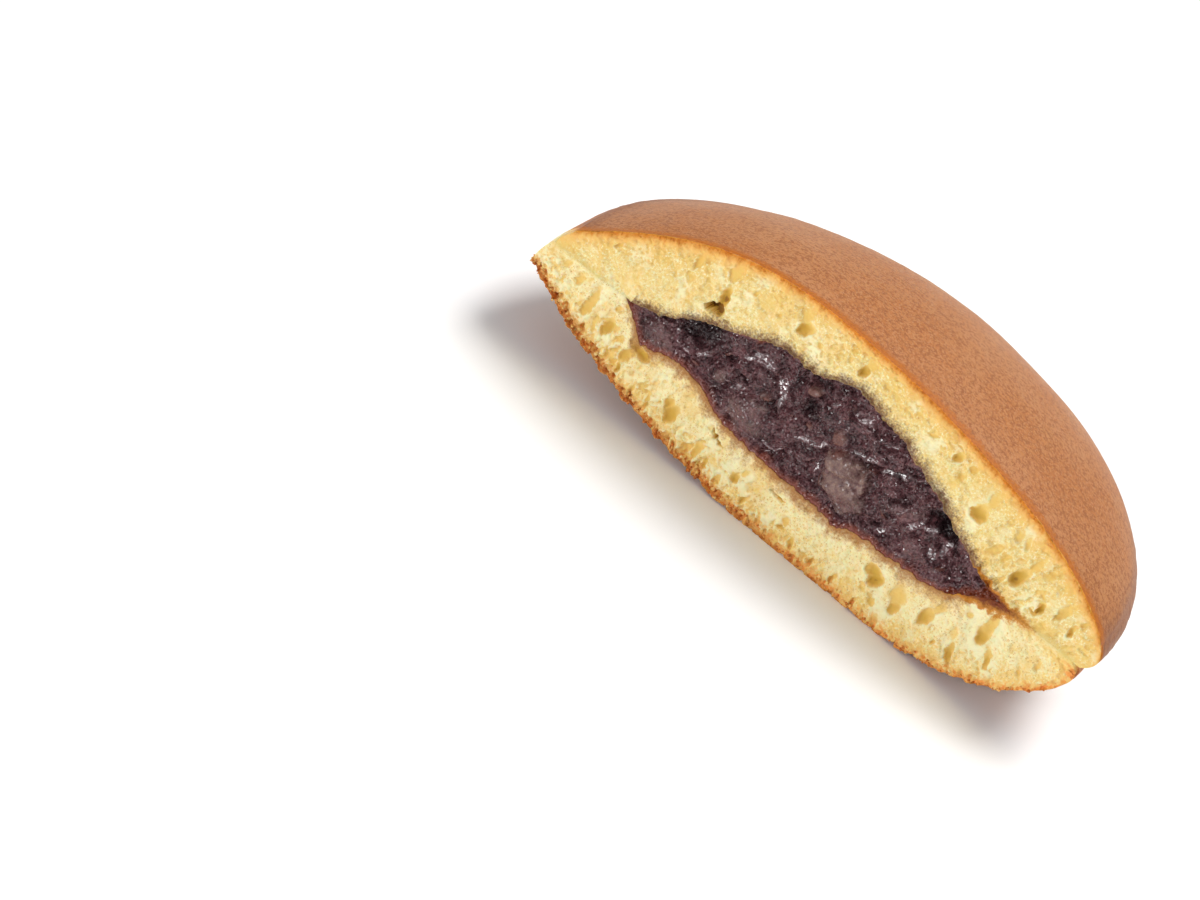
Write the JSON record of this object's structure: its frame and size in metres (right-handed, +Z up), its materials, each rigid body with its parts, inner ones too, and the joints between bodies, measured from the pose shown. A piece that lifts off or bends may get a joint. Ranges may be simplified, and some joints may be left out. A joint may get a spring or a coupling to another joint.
{
  "type": "half dorayaki",
  "caption": "Half of a round filled pancake sweet, cut straight through, with sweet bean paste between domed brown-topped sponge pancakes.",
  "frame": {"origin": "centre of the bounding box's underside, in the plane that the half rests on", "axes": "+X along the cut, from the pinched end to the rounded end; +Y from the cut face into the half; +Z up, out of the domed top"},
  "size_m": [0.097, 0.052, 0.036],
  "materials": {
    "top_sponge": "satin baked crust over pale open crumb",
    "bottom_sponge": "matte open crumb with a browned underside",
    "bean_paste": "moist, unevenly glossy"
  },
  "bodies": {
    "root": {"top_pancake": "top_sponge", "bottom_pancake": "bottom_sponge", "bean_filling": "bean_paste"}
  },
  "joints": []
}
